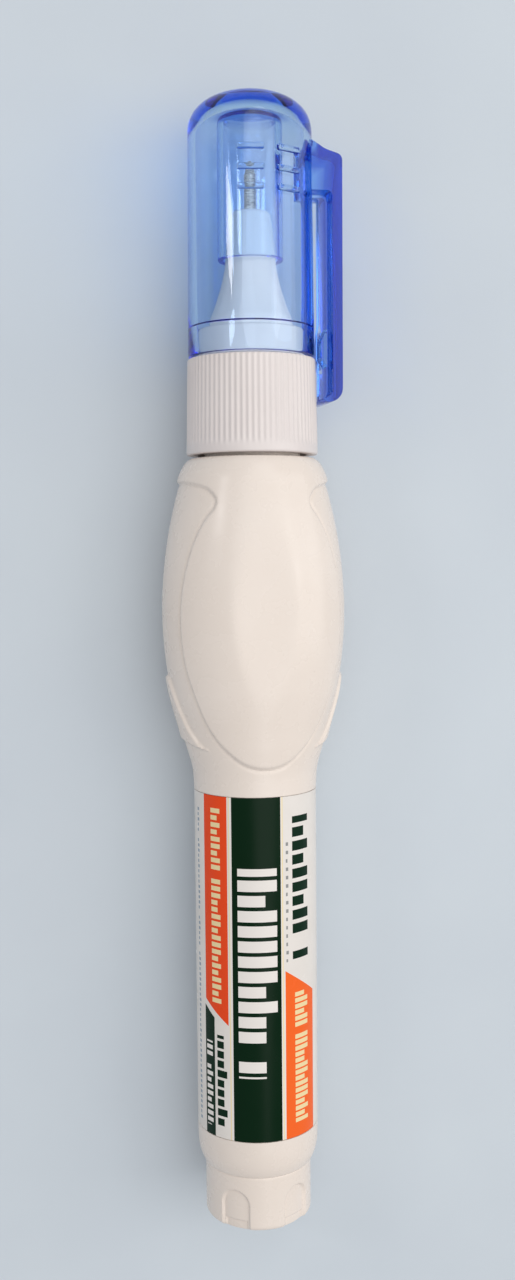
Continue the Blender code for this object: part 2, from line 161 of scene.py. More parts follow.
# Half outlines, as (degrees round from the front, height), which both sides share
TONGUE = (
    (0.0, 55.20), (7.7, 55.30), (18.5, 55.80), (29.0, 56.95), (37.9, 58.35), (45.2, 60.3), (50.8, 63.4),
    (55.2, 66.2), (57.5, 69.3), (57.6, 72.2), (56.8, 74.6), (55.2, 76.7), (52.8, 78.6), (49.7, 80.5),
    (45.4, 82.25), (40.4, 83.7), (35.9, 84.6), (34.5, 85.2), (35.1, 85.8), (38.4, 86.4), (43.2, 86.95),
    (51.0, 87.3), (62.0, 87.6), (76.0, 87.8), (91.0, 87.9),
)
PETAL = (
    (49.6, 57.15), (54.0, 57.35), (59.0, 57.95), (67.0, 59.35), (73.0, 61.5), (77.6, 63.7), (82.0, 64.95),
    (86.5, 65.35), (91.0, 65.4), (91.0, 57.85), (78.0, 57.75), (62.0, 57.35),
)

# What one degree round the belly measures there, near enough
DEGREE_MM = 0.165


# ---------------------------------------------------------------- shapes


def place(points):
    """Pen-frame millimetres (x, height, z) to row-frame metres."""
    points = np.asarray(points, float)
    return np.stack([points[:, 0] * MM, BASE_Y + points[:, 1] * MM, AXIS_Z + points[:, 2] * MM], axis=1)


def smooth_curve(stations, at):
    """Values on a smooth curve, with no overshoot, through (place, value) stations."""
    places, values = np.array(stations, float).T
    spans, rises = np.diff(places), np.diff(values)
    slopes = rises / spans
    inner = np.zeros(len(slopes) - 1)
    same = slopes[:-1] * slopes[1:] > 0
    inner[same] = 2 * (slopes[:-1] * slopes[1:])[same] / (slopes[:-1] + slopes[1:])[same]
    tangents = np.concatenate([[slopes[0]], inner, [slopes[-1]]])
    i = np.clip(np.searchsorted(places, at, side="right") - 1, 0, len(slopes) - 1)
    t = (at - places[i]) / spans[i]
    bend = (spans * tangents[:-1] - rises)[i] * (1 - t) + (rises - spans * tangents[1:])[i] * t
    return values[i] + t * rises[i] + t * (1 - t) * bend


def smoothstep(distance, width):
    """0 to 1 across a band of this width, centred where the distance is nought."""
    t = np.clip(distance / width + 0.5, 0, 1)
    return t * t * (3 - 2 * t)


def flowing(corners, first, last, steps=4):
    """An outline with the corners from first to last joined by a curve through them."""
    points = [Vector(corner) for corner in corners]
    joined = points[: first + 1]
    for i in range(first, last):
        before, start, end, after = points[max(i - 1, 0)], points[i], points[i + 1], points[i + 2]
        for k in range(1, steps + 1):
            t = k / steps
            joined.append(
                start + 0.5 * t * (end - before)
                + 0.5 * t * t * (2 * before - 5 * start + 4 * end - after)
                + 0.5 * t * t * t * (3 * start - before - 3 * end + after)
            )
    return joined + points[last + 1 :]


def signed_distance(across, height, outline):
    """How far points lie inside a closed outline, in mm: negative outside it."""
    points = np.stack([across * DEGREE_MM, height], axis=-1)
    corners = np.array([(corner[0] * DEGREE_MM, corner[1]) for corner in outline])
    nearest = np.full(across.shape, 1e9)
    inside = np.zeros(across.shape, bool)
    for start, end in zip(corners, np.roll(corners, -1, axis=0)):
        edge = end - start
        along = np.clip(((points - start) @ edge) / (edge @ edge), 0, 1)
        nearest = np.minimum(nearest, np.linalg.norm(points - start - along[..., None] * edge, axis=-1))
        crosses = (start[1] > height) != (end[1] > height)
        rise = edge[1] if edge[1] else 1e-9
        inside ^= crosses & (points[..., 0] < start[0] + (height - start[1]) * edge[0] / rise)
    return np.where(inside, nearest, -nearest)


def bottle_relief(turn, height):
    """Height of the raised panel, the side petals and the base's arches over the plain oval, in mm."""
    side = np.abs(turn)
    raised = [(-9.0, 55.20), *flowing(TONGUE, 0, 16), (91.0, 96.0), (-9.0, 96.0)]
    inside = signed_distance(side, height, raised)
    relief = RELIEF * smoothstep(inside, 0.46) - FOOT_GROOVE * np.exp(-(((inside + 0.34) / 0.2) ** 2))
    relief += PETAL_RELIEF * smoothstep(signed_distance(side, height, PETAL), 0.42)
    across = (side - ARCH_TURN) * math.radians(1) * BASE_R
    up = np.maximum(height - ARCH_SPRING, 0)
    arch = ARCH_R - np.hypot(across, up)
    relief -= ARCH_DEPTH * smoothstep(arch, 0.30) * (height < BASE_TOP)
    ledge = np.minimum(LEDGE_HALF_WIDTH - np.abs(across), LEDGE_TOP - height)
    return relief - LEDGE_DEPTH * smoothstep(ledge, 0.18) * (height < BASE_TOP)


def thickness(half_width):
    """Half the bottle's thickness front to back where it is this wide."""
    return BARREL_R + OVALITY * (half_width - BARREL_R)


def round_rows(outline, relief=0):
    """Rows of the bottle that are round, from (radius, height) points."""
    return [(radius, radius, height, relief) for radius, height in outline]


def bottle_rows():
    """(half-width, half-thickness, height, share of the relief) up the outside, then down the inside."""
    rows = round_rows(((0.0, 0.0), (3.0, 0.0), (5.2, 0.0)))
    for turn in np.linspace(0, math.pi / 2, 7):
        radius = BASE_R - BASE_ROUNDING * (1 - math.sin(turn))
        rows.append((radius, radius, BASE_ROUNDING * (1 - math.cos(turn)), math.sin(turn)))
    rows += round_rows([(BASE_R, height) for height in np.arange(0.72, 6.3, 0.12)], relief=1)
    rows += round_rows((
        (6.34, 6.42), (6.31, BASE_TOP), (6.36, 6.56), (6.46, 6.62), (6.56, 6.75), (6.68, 7.0), (6.82, 7.3),
        (6.97, 7.7), (7.07, 8.1), (7.16, 8.6), (7.22, 9.2), (BARREL_R, 10.0), (BARREL_R, LABEL_BOTTOM - 0.08),
    ))
    seat = BARREL_R - LABEL_FILM - 0.08
    rows += round_rows([(seat, height) for height in (LABEL_BOTTOM - 0.07, 31.0, LABEL_TOP + 0.07)])
    heights = np.concatenate([np.arange(BARREL_TOP, 90.5, 0.17), [90.55]])
    for height, half_width in zip(heights, smooth_curve(HALF_WIDTH, heights)):
        rows.append((half_width, thickness(half_width), height, 1))
    rows.append((6.6, 6.65, 90.66, 0))
    rows += round_rows((
        (NECK_R, SHOULDER_TOP), (NECK_R, NECK_TOP), (NECK_BORE, NECK_TOP), (NECK_BORE, 89.8),
    ))
    inner = np.array([89.0, 87.0, *np.arange(84.0, 56.0, -3.0), 54.5])
    for height, half_width in zip(inner, smooth_curve(HALF_WIDTH, inner)):
        rows.append((half_width - WALL - 0.1, thickness(half_width) - WALL - 0.1, height, 0))
    rows += round_rows([(seat - WALL, height) for height in (52.0, 30.0, 8.8)])
    rows += round_rows(((5.3, 6.6), (5.3, 1.4), (4.6, 0.9), (0.0, 0.9)))
    return np.array(rows, float)


def mesh_object(name, points, faces, sharp=35.0):
    """A mesh in the row frame from pen-frame points, smooth except at its sharp edges."""
    mesh = bpy.data.meshes.new(name)
    mesh.from_pydata(place(points).tolist(), [], faces)
    shape = bmesh.new()
    shape.from_mesh(mesh)
    bmesh.ops.remove_doubles(shape, verts=shape.verts, dist=1e-7)
    bmesh.ops.recalc_face_normals(shape, faces=shape.faces)
    shape.to_mesh(mesh)
    shape.free()
    made = bpy.data.objects.new(name, mesh)
    bpy.context.scene.collection.objects.link(made)
    mesh.shade_smooth()
    mesh.set_sharp_from_angle(angle=math.radians(sharp))
    return made


def grid_faces(rows, columns, closed):
    """Quads between neighbouring rows of points, with the last column joined to the first if closed."""
    count = columns if closed else columns - 1
    faces = []
    for row in range(rows - 1):
        low = row * columns
        high = low + columns
        for c in range(count):
            after = (c + 1) % columns
            faces.append((low + c, low + after, high + after, high + c))
    return faces


def crowned(z, softness=0.10):
    """z eased into the flattened crown of the squeeze panels."""
    return CROWN - softness * np.logaddexp(0.0, (CROWN - z) / softness)


def half_bottle(name, facing):
    """The front or the back half of the bottle, parted at its widest, as the mould parts it."""
    rows = bottle_rows()
    turn = np.linspace(-90, 90, COLUMNS)
    turns, heights = np.meshgrid(turn, rows[:, 2])
    relief = rows[:, 3:4] * bottle_relief(turns, heights)
    x = (rows[:, 0:1] + relief) * np.sin(np.radians(turns))
    z = (rows[:, 1:2] + relief) * np.cos(np.radians(turns))
    points = np.stack([x, heights, facing * crowned(z)], axis=-1).reshape(-1, 3)
    faces = grid_faces(len(rows), COLUMNS, closed=False)
    last = COLUMNS - 1
    faces.append([row * COLUMNS for row in range(len(rows))])
    faces.append([row * COLUMNS + last for row in range(len(rows))])
    return mesh_object(name, points, faces)


def turned(name, profile, columns=180, shape=None, sharp=35.0):
    """A closed profile of (radius, height) turned round the axis; shape may change the radii round it."""
    profile = np.array(profile, float)
    turn = np.linspace(0, math.tau, columns, endpoint=False)
    turns, heights = np.meshgrid(turn, profile[:, 1])
    radii = np.repeat(profile[:, 0:1], columns, axis=1)
    if shape:
        radii = radii + shape(turns, heights, radii)
    points = np.stack([radii * np.sin(turns), heights, radii * np.cos(turns)], axis=-1).reshape(-1, 3)
    faces = grid_faces(len(profile), columns, closed=True)
    if np.hypot(*(profile[0] - profile[-1])) > 1e-6 and profile[0, 0] > 0:
        last = (len(profile) - 1) * columns
        faces += [(last + c, last + (c + 1) % columns, (c + 1) % columns, c) for c in range(columns)]
    return mesh_object(name, points, faces, sharp)


def rounded(corners, steps=5):
    """Points of a closed outline whose corners are (x, y) or (x, y, radius)."""
    points = []
    count = len(corners)
    for i, corner in enumerate(corners):
        if len(corner) == 2:
            points.append(corner)
            continue
        here = Vector(corner[:2])
        back = (Vector(corners[i - 1][:2]) - here).normalized()
        ahead = (Vector(corners[(i + 1) % count][:2]) - here).normalized()
        half = back.angle(ahead) / 2
        start = here + back * corner[2] / math.tan(half)
        end = here + ahead * corner[2] / math.tan(half)
        centre = here + (back + ahead).normalized() * corner[2] / math.sin(half)
        sweep = (start - centre).angle_signed(end - centre)
        for k in range(steps + 1):
            turned_by = Matrix.Rotation(-sweep * k / steps, 2) @ (start - centre)
            points.append(tuple(centre + turned_by))
    return points


def dome(radius, foot, top, to_radius=0.0, steps=24, power=2.35):
    """A slightly squared dome's (radius, height) points, from its foot in to to_radius."""
    last = math.acos((to_radius / radius) ** (power / 2))
    points = []
    for i in range(steps + 1):
        turn = last * i / steps
        reach = math.cos(turn) ** (2 / power)
        rise = math.sin(turn) ** (2 / power)
        points.append((radius * reach, foot + (top - foot) * rise))
    return points


def prism(name, outline, near, far):
    """A flat outline of (x, height), stretched in z from near to far."""
    count = len(outline)
    points = [(x, height, near) for x, height in outline] + [(x, height, far) for x, height in outline]
    faces = [list(range(count)), list(range(2 * count - 1, count - 1, -1))]
    faces += [(i, (i + 1) % count, count + (i + 1) % count, count + i) for i in range(count)]
    return mesh_object(name, points, faces)


def combine(piece, other, operation):
    """Join another solid to a piece, or cut it out of the piece, and delete it."""
    step = piece.modifiers.new(operation.lower(), "BOOLEAN")
    step.operation = operation
    step.object = other
    step.solver = "EXACT"
    bake(piece)
    bpy.data.objects.remove(other)


def bevel(piece, width, segments=3):
    """Round off a piece's sharp edges."""
    step = piece.modifiers.new("bevel", "BEVEL")
    step.width = width * MM
    step.segments = segments
    step.limit_method = "ANGLE"
    step.angle_limit = math.radians(40)
    bake(piece)


def bake(piece):
    """Apply a piece's modifiers to its mesh."""
    bpy.context.view_layer.update()
    graph = bpy.context.evaluated_depsgraph_get()
    mesh = bpy.data.meshes.new_from_object(piece.evaluated_get(graph))
    piece.modifiers.clear()
    piece.data = mesh


# ---------------------------------------------------------------- materials


class Nodes:
    """Short calls for building one material's node tree."""

    def __init__(self, name):
        self.material = bpy.data.materials.new(name)
        self.material.use_nodes = True
        self.tree = self.material.node_tree
        self.shader = self.tree.nodes["Principled BSDF"]

    def add(self, kind, inputs=None, **settings):
        node = self.tree.nodes.new(kind)
        for key, value in settings.items():
            setattr(node, key, value)
        for key, value in (inputs or {}).items():
            self.feed(node.inputs[key], value)
        return node

    def feed(self, socket, value):
        if isinstance(value, bpy.types.NodeSocket):
            self.tree.links.new(value, socket)
        else:
            socket.default_value = value

    def math(self, operation, *values):
        node = self.add("ShaderNodeMath", operation=operation)
        for socket, value in zip(node.inputs, values):
            self.feed(socket, value)
        return node.outputs[0]

    def between(self, value, low, high):
        return self.math("COMPARE", value, (low + high) / 2, (high - low) / 2)

    def both(self, *masks):
        result = masks[0]
        for mask in masks[1:]:
            result = self.math("MULTIPLY", result, mask)
        return result

    def noise(self, scale, detail=3.0, stretch=(1, 1, 1), roughness=0.55):
        where = self.add("ShaderNodeTexCoord").outputs["Object"]
        mapped = self.add("ShaderNodeMapping", {"Vector": where, "Scale": stretch}).outputs[0]
        settings = {"Vector": mapped, "Scale": scale, "Detail": detail, "Roughness": roughness}
        return self.add("ShaderNodeTexNoise", settings).outputs[0]

    def remap(self, value, low, high, from_low=0.3, from_high=0.7):
        limits = {"From Min": from_low, "From Max": from_high, "To Min": low, "To Max": high}
        return self.add("ShaderNodeMapRange", {"Value": value, **limits}).outputs[0]

    def ramp(self, value, start, end):
        """0 up to start, then evenly up to 1 at end."""
        return self.remap(value, 0.0, 1.0, start, end)

    def mix(self, factor, first, second):
        node = self.add("ShaderNodeMix", data_type="RGBA")
        self.feed(node.inputs[0], factor)
        self.feed(node.inputs[6], first)
        self.feed(node.inputs[7], second)
        return node.outputs[2]

    def bump(self, height, strength, distance):
        settings = {"Height": height, "Strength": strength, "Distance": distance}
        self.feed(self.shader.inputs["Normal"], self.add("ShaderNodeBump", settings).outputs[0])

    def set(self, **inputs):
        for key, value in inputs.items():
            self.feed(self.shader.inputs[key.replace("_", " ")], value)


def rgb(red, green, blue):
    """A linear colour from 0 to 255 sRGB values."""
    values = [c / 255 for c in (red, green, blue)]
    return (*[v / 12.92 if v <= 0.04045 else ((v + 0.055) / 1.055) ** 2.4 for v in values], 1.0)


def moulded(name, light, dark, roughness):
    """Moulded white plastic with faint mottling and an uneven sheen."""
    nodes = Nodes(name)
    mottle = nodes.remap(nodes.noise(90.0, 4.0), 0.0, 1.0)
    nodes.set(
        Base_Color=nodes.mix(mottle, dark, light),
        Roughness=nodes.remap(nodes.noise(320.0, 3.0), roughness - 0.05, roughness + 0.05),
        IOR=1.5,
    )
    nodes.bump(nodes.noise(110.0, 1.0), 0.02, 0.0001)
    return nodes.material


def clear_blue():
    """Clear tinted plastic, with a deeper blue painted into its colour at the clip's flange and root, at the
    pole of the dome and at grazing edges: painted shade standing in for light lost along long paths through
    the plastic.
    """
    nodes = Nodes("clear_blue")
    where = nodes.add("ShaderNodeSeparateXYZ", {0: nodes.add("ShaderNodeTexCoord").outputs["Object"]})
    across = where.outputs[0]
    along = where.outputs[1]
    # Painted shade: a deeper blue painted into the colour at the flange, the root and the pole, where light's
    # path through the plastic is long
    flange = nodes.ramp(across, 7.9 * MM, 9.1 * MM)
    pole = nodes.ramp(along, BASE_Y + 130.6 * MM, BASE_Y + 131.6 * MM)
    root = nodes.both(
        nodes.ramp(across, 7.1 * MM, 7.5 * MM),
        nodes.ramp(along, BASE_Y + 123.6 * MM, BASE_Y + 124.6 * MM),
    )
    painted_depth_shade = nodes.math("MAXIMUM", nodes.math("MAXIMUM", flange, root), pole)
    # Painted shade: a deeper blue painted at grazing edges, where light's path through the plastic is long
    facing = nodes.add("ShaderNodeLayerWeight", {"Blend": 0.5}).outputs["Facing"]
    edge = nodes.math("POWER", facing, 3.0)
    body = nodes.mix(painted_depth_shade, (0.99, 0.99, 1.0, 1.0), (0.03, 0.14, 0.68, 1.0))
    nodes.set(
        Base_Color=nodes.mix(edge, body, (0.05, 0.2, 0.78, 1.0)),
        Transmission_Weight=1.0,
        Roughness=nodes.remap(nodes.noise(60.0, 3.0), 0.012, 0.035),
        IOR=1.49,
    )
    nodes.bump(nodes.noise(140.0, 2.0), 0.03, 0.0003)

    # Shadow rays pass nearly untouched, so that light reaches the nozzle through the cap
    output = nodes.tree.nodes["Material Output"]
    shadow = nodes.add("ShaderNodeLightPath").outputs["Is Shadow Ray"]
    clear = nodes.add("ShaderNodeBsdfTransparent", {"Color": (0.93, 0.96, 1.0, 1.0)})
    mixed = nodes.add("ShaderNodeMixShader", {0: shadow, 1: nodes.shader.outputs[0], 2: clear.outputs[0]})
    nodes.feed(output.inputs["Surface"], mixed.outputs[0])
    tint = nodes.add("ShaderNodeVolumeAbsorption", {"Color": (0.10, 0.57, 0.96, 1.0), "Density": 265.0})
    nodes.feed(output.inputs["Volume"], tint.outputs[0])
    return nodes.material


def metal(name, color, roughness, stretch):
    """Drawn metal with fine scratches, which stretch draws out."""
    nodes = Nodes(name)
    scratch = nodes.noise(900.0, 5.0, stretch)
    shade = (*[c * 0.8 for c in color[:3]], 1.0)
    nodes.set(
        Base_Color=nodes.mix(nodes.remap(scratch, 0.0, 1.0), shade, color),
        Metallic=1.0,
        Roughness=nodes.remap(scratch, roughness - 0.06, roughness + 0.1),
    )
    return nodes.material


def greeked(nodes, across, along, block, pitch, full, seed):
    """Plain bars of uneven height and gap in place of a line of print.

    block is the line's (low, high, start, end): its sides in degrees round the barrel, its ends in mm.
    """
    low, high, start, end = block
    place_in_line = nodes.math("DIVIDE", along, pitch)
    cell = nodes.math("ADD", nodes.math("FLOOR", place_in_line), seed)
    draw = nodes.add("ShaderNodeTexWhiteNoise", {"W": cell}, noise_dimensions="1D").outputs[0]
    bar = nodes.math("LESS_THAN", nodes.math("FRACT", place_in_line), full)
    short = nodes.math("MULTIPLY", nodes.math("GREATER_THAN", draw, 0.42), (high - low) * 0.3)
    tall = nodes.math("LESS_THAN", nodes.math("ADD", across, short), high)
    gap = nodes.math("LESS_THAN", draw, 0.9)
    return nodes.both(nodes.between(across, low, high), nodes.between(along, start, end), bar, tall, gap)


def label_print():
    """The printed film: blocks of colour by place on the label, with bars in place of its lettering."""
    nodes = Nodes("label_print")
    spot = nodes.add("ShaderNodeSeparateXYZ", {0: nodes.add("ShaderNodeUVMap", uv_map="print").outputs[0]})
    across = nodes.math("SUBTRACT", nodes.math("MULTIPLY", spot.outputs[0], 360.0), 180.0)
    height = nodes.math("MULTIPLY", spot.outputs[1], LABEL_TOP - LABEL_BOTTOM)
    height = nodes.math("ADD", height, LABEL_BOTTOM)

    def bars(*block, pitch, full, seed):
        return greeked(nodes, across, height, block, pitch, full, seed)

    def below(at_zero, per_degree):
        edge = nodes.math("ADD", nodes.math("MULTIPLY", across, per_degree), at_zero)
        return nodes.math("LESS_THAN", height, edge)

    def above(at_zero, per_degree):
        return nodes.math("SUBTRACT", 1.0, below(at_zero, per_degree))

    white = rgb(238, 232, 226)
    green = rgb(2, 34, 14)
    ink = rgb(8, 40, 24)
    red = rgb(240, 78, 34)
    orange = rgb(250, 106, 42)
    cream = rgb(244, 222, 170)
    gray = rgb(150, 150, 148)
    pale_blue = rgb(150, 165, 178)
    color = nodes.mix(nodes.remap(nodes.noise(120.0, 4.0), 0.0, 1.0), rgb(230, 223, 216), white)
    layers = (
        (nodes.between(across, -35.6, 15.6), cream),
        (nodes.between(across, -34.6, 14.6), white),
        (nodes.between(across, -32.4, 13.4), green),
        (nodes.both(nodes.between(across, -65.4, -37.0), above(21.54, -0.0917)), red),
        (nodes.both(nodes.between(across, -66.4, -53.1), below(20.3, -0.0985)), ink),
        (nodes.both(nodes.between(across, 17.5, 55.4), below(32.9, -0.0863)), orange),
        (bars(-27.0, 9.5, 18.9, 43.6, pitch=1.78, full=0.74, seed=3.0), white),
        (bars(-55.6, -44.6, 27.2, 50.6, pitch=0.83, full=0.66, seed=11.0), cream),
        (bars(28.0, 44.8, 13.0, 28.6, pitch=0.72, full=0.72, seed=29.0), cream),
        (bars(25.6, 46.2, 32.6, 49.4, pitch=1.62, full=0.70, seed=41.0), ink),
        (bars(18.6, 21.2, 32.4, 47.0, pitch=0.98, full=0.42, seed=57.0), gray),
        (bars(-50.1, -39.0, 12.4, 23.6, pitch=1.16, full=0.74, seed=67.0), ink),
        (bars(-64.4, -56.0, 12.4, 22.6, pitch=0.80, full=0.62, seed=83.0), white),
        (bars(-79.0, -75.0, 12.4, 50.0, pitch=0.62, full=0.60, seed=97.0), pale_blue),
    )
    for mask, tone in layers:
        color = nodes.mix(mask, color, tone)
    sheen = nodes.remap(nodes.noise(260.0, 3.0), 0.20, 0.28)
    nodes.set(Base_Color=color, Roughness=sheen, IOR=1.5, Specular_IOR_Level=0.12)
    nodes.bump(nodes.noise(150.0, 2.0), 0.04, 0.0001)
    return nodes.material


def floor_material():
    nodes = Nodes("pale_floor")
    mottle = nodes.remap(nodes.noise(40.0, 5.0), 0.0, 1.0)
    nodes.set(
        Base_Color=nodes.mix(mottle, rgb(203, 211, 219), rgb(208, 216, 223)),
        Roughness=nodes.remap(nodes.noise(160.0, 3.0), 0.7, 0.8),
    )
    return nodes.material


BOTTLE = moulded("bottle_white", rgb(240, 228, 218), rgb(236, 223, 212), 0.27)
NOZZLE = moulded("nozzle_white", rgb(231, 222, 219), rgb(226, 216, 213), 0.34)
BLUE = clear_blue()
PRINT = label_print()
STEEL = metal("steel", (0.50, 0.44, 0.40, 1.0), 0.26, (1, 8, 1))
SPRING = metal("spring_steel", (0.55, 0.55, 0.56, 1.0), 0.28, (1, 1, 1))


def finish_piece(piece, material, slot, body, *nodes):
    """Give a piece its material and the body it rides on, if any, and hide the CAD nodes it stands for. The
    slot argument is not used.
    """
    piece.data.materials.clear()
    piece.data.materials.append(material)
    if body:
        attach(piece, body)
    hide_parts(*nodes)


# ---------------------------------------------------------------- pieces


def make_bottle():
    """The whole skin in two halves, front and back, each standing in for its squeeze panel."""
    for side, facing in (("front", 1), ("back", -1)):
        skin = half_bottle(f"bottle_{side}_skin", facing)
        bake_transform(skin)
        nodes = ("bottle", "front_squeeze_wall") if side == "front" else ("back_squeeze_wall",)
        finish_piece(skin, BOTTLE, "bottle_white", None, *nodes)


def make_label():
    """The film, with u once round it from the back and v from its bottom to its top."""
    inner = BARREL_R - LABEL_FILM
    profile = [(inner, LABEL_BOTTOM), (BARREL_R, LABEL_BOTTOM), (BARREL_R, LABEL_TOP), (inner, LABEL_TOP)]
    film = turned("label_film", profile, 240)
    layer = film.data.uv_layers.new(name="print")
    for polygon in film.data.polygons:
        middle = math.atan2(polygon.center.x, polygon.center.z - AXIS_Z)
        for loop in polygon.loop_indices:
            spot = film.data.vertices[film.data.loops[loop].vertex_index].co
            turn = math.atan2(spot.x, spot.z - AXIS_Z)
            turn += math.tau * round((middle - turn) / math.tau)
            up = ((spot.y - BASE_Y) / MM - LABEL_BOTTOM) / (LABEL_TOP - LABEL_BOTTOM)
            layer.data[loop].uv = (0.5 + turn / math.tau, up)
    finish_piece(film, PRINT, "label_print", "bottle", "label")


def collar_ribs(turns, heights, radii):
    """Fine grip ribs on the collar, from its top edge down to a plain band."""
    outside = (radii > 7.3) & (heights > COLLAR_BOTTOM + 0.2) & (heights < COLLAR_TOP - 0.05)
    reach = smoothstep(heights - RIB_START, 0.8)
    return -RIB_DEPTH * outside * reach * (0.5 + 0.5 * np.cos(RIB_COUNT * turns)) ** 0.8


def make_nozzle():
    """The cone with its seat ring, and the collar, as one moulding: down the outside, then up the inside."""
    heights = np.arange(105.8, 118.0, 0.25)
    cone = list(zip(smooth_curve(CONE, heights), heights))
    outside = [(0.72, CONE_END), (CONE_END_R, CONE_END)]
    for turn in np.linspace(0.2, 1.5, 7):
        radius = CONE_END_R + CONE_ROUNDING * math.sin(turn)
        outside.append((radius, CONE_END - CONE_ROUNDING + CONE_ROUNDING * math.cos(turn)))
    outside += cone[::-1]
    outside += [(4.96, 105.5), (5.3, 105.42), (5.95, SEAT_TOP), (6.1, 105.3), (SEAT_R, 105.15)]
    outside += [(SEAT_R, 102.3), (7.2, COLLAR_TOP), (7.36, 101.96)]
    for height in np.arange(101.85, 91.6, -0.25):
        outside.append((COLLAR_R + (101.85 - height) * COLLAR_TAPER, height))
    outside += [(7.67, 91.3), (7.66, 91.15), (7.58, 91.03), (7.4, COLLAR_BOTTOM)]
    inside = [(COLLAR_BORE, COLLAR_BOTTOM), (COLLAR_BORE, 99.8), (4.5, 99.8), (4.5, 96.8), (3.4, 96.8)]
    inside += [(3.4, 102.0), (2.4, 102.0), (2.4, 110.4), (0.72, 110.4)]
    nozzle = turned("nozzle_and_collar", outside + inside, 432, collar_ribs, 50.0)
    finish_piece(nozzle, NOZZLE, "nozzle_white", "bottle", "nozzle")


def make_tip():
    tube = [(TIP_MOUTH, TIP_END), (0.44, TIP_END), (0.50, 124.12), (0.55, 123.2), (0.66, 122.95)]
    tube += [(TIP_R, 122.85), (TIP_R, TIP_BOTTOM)]
    tube += [(TIP_BORE, TIP_BOTTOM), (TIP_BORE, 123.0), (TIP_MOUTH, 123.6)]
    finish_piece(turned("metal_tip", tube, 48), STEEL, "steel", "bottle", "tip_tube")


def make_needle():
    rod = [(0, NEEDLE_END), (0.12, 124.48), (0.2, 124.42), (NEEDLE_R, 124.3), (NEEDLE_R, 110.0)]
    rod += [(1.7, 110.0), (FLANGE_R, 109.9), (FLANGE_R, 109.5), (1.7, 109.4)]
    rod += [(0.4, 109.4), (0.4, 105.1), (0.3, 105.0), (0, 105.0)]
    finish_piece(turned("needle", rod, 32), STEEL, "steel", "needle", "valve_needle")


def make_spring():
    """The return spring's coil, drawn at rest; the real one shortens as the needle is pressed."""
    low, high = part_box("valve_spring")
    around = 32
    section = 10
    start = (low.y - BASE_Y) / MM + WIRE_R
    end = (high.y - BASE_Y) / MM - WIRE_R
    steps = SPRING_TURNS * around
    points = []
    for i in range(steps + 1):
        turn = math.tau * i / around
        height = start + (end - start) * i / steps
        for k in range(section):
            bend = math.tau * k / section
            reach = SPRING_R + WIRE_R * math.cos(bend)
            points.append((reach * math.cos(turn), height + WIRE_R * math.sin(bend), -reach * math.sin(turn)))
    faces = grid_faces(steps + 1, section, closed=True)
    faces += [list(range(section)), list(range(len(points) - section, len(points)))]
    coil = mesh_object("return_spring", points, faces)
    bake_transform(coil)
    finish_piece(coil, SPRING, "spring_steel", None, "valve_spring")


def make_clip():
    """The pocket clip: a web with a flange along its outer edge, its root, its nub and the nub's pad."""
    root = [(CLIP_BURIED, CLIP_ROOT_BOTTOM), (CLIP_BURIED, 126.5), (8.2, 125.5, 3.0)]
    root.append((CLIP_REACH, CLIP_TOP, 0.8))
    end = [(CLIP_REACH, CLIP_BOTTOM, 1.6), (CLIP_RELIEVED, CLIP_BOTTOM, 0.5)]
    nub = [(CLIP_RELIEVED, 101.4), (CLIP_INNER, 102.6, 0.6), (CLIP_INNER, 105.0, 0.6), (CLIP_RELIEVED, 106.2)]
    outline = rounded(root + end + nub + [(CLIP_RELIEVED, CLIP_ROOT_BOTTOM, 0.5)], steps=8)
    clip = prism("clip", outline, -CLIP_HALF_WIDTH, CLIP_HALF_WIDTH)

    near = 5.35
    far = CLIP_REACH - CLIP_FLANGE
    low = CLIP_BOTTOM + 0.4
    high = CLIP_ROOT_BOTTOM + 0.3
    pocket = rounded([(near, low), (near, high), (far, high, 0.6), (far, low, 1.1)])
    for side in (-1, 1):
        cutter = prism("pocket", pocket, *sorted((side * CLIP_WEB_HALF, side * 2 * CLIP_HALF_WIDTH)))
        combine(clip, cutter, "DIFFERENCE")
    pad_back = CLIP_INNER + 0.7
    pad = [(CLIP_INNER, 102.0, 0.4), (CLIP_INNER, 104.0, 0.4), (pad_back, 105.4), (pad_back, 101.0)]
    combine(clip, prism("pad", rounded(pad), -2.9, 2.9), "UNION")
    bevel(clip, 0.12)
    return clip


def make_bar(turn, height):
    """One small raised bar on the cap, turned round from the front."""
    low = height - BAR_HALF_HEIGHT
    high = height + BAR_HALF_HEIGHT
    half = BAR_HALF_LENGTH
    bar = prism("bar", [(-half, low), (half, low), (half, high), (-half, high)], 6.65, 7.5)
    bevel(bar, 0.2)
    centre = Vector((0, 0, AXIS_Z))
    spin = Matrix.Rotation(math.radians(turn), 4, "Y")
    bar.data.transform(Matrix.Translation(centre) @ spin @ Matrix.Translation(-centre))
    return bar


def make_cap():
    """The clear cap as one moulding, with its seal tube inside, the clip and the raised bars."""
    outside = list(reversed(dome(CAP_R, CAP_DOME_FOOT, LENGTH)))
    rim = [(7.2, 120.0), (7.3, 108.0), (7.35, 102.5), (7.28, 102.32), (CAP_R, CAP_FOOT), (6.55, CAP_FOOT)]
    bore = [(6.4, 102.45), (6.4, 105.6), (CAP_BORE, 105.8)]
    inside = dome(CAP_BORE, 126.9, LENGTH - CAP_POLE_WALL, to_radius=3.75)
    tube = [(SEAL_TUBE_R, 113.3), (3.72, SEAL_TUBE_BOTTOM), (3.22, SEAL_TUBE_BOTTOM), (SEAL_TUBE_BORE, 113.3)]
    tube += [(3.05, 128.6), (2.3, 129.6), (0, 129.9)]
    cap = turned("clear_cap", outside + rim + bore + inside + tube, 160)
    combine(cap, make_clip(), "UNION")
    for turn in BAR_TURNS:
        for height in BAR_HEIGHTS:
            combine(cap, make_bar(turn, height), "UNION")
    cap.data.shade_smooth()
    cap.data.set_sharp_from_angle(angle=math.radians(30))
    finish_piece(cap, BLUE, "clear_blue", "cap", "cap")


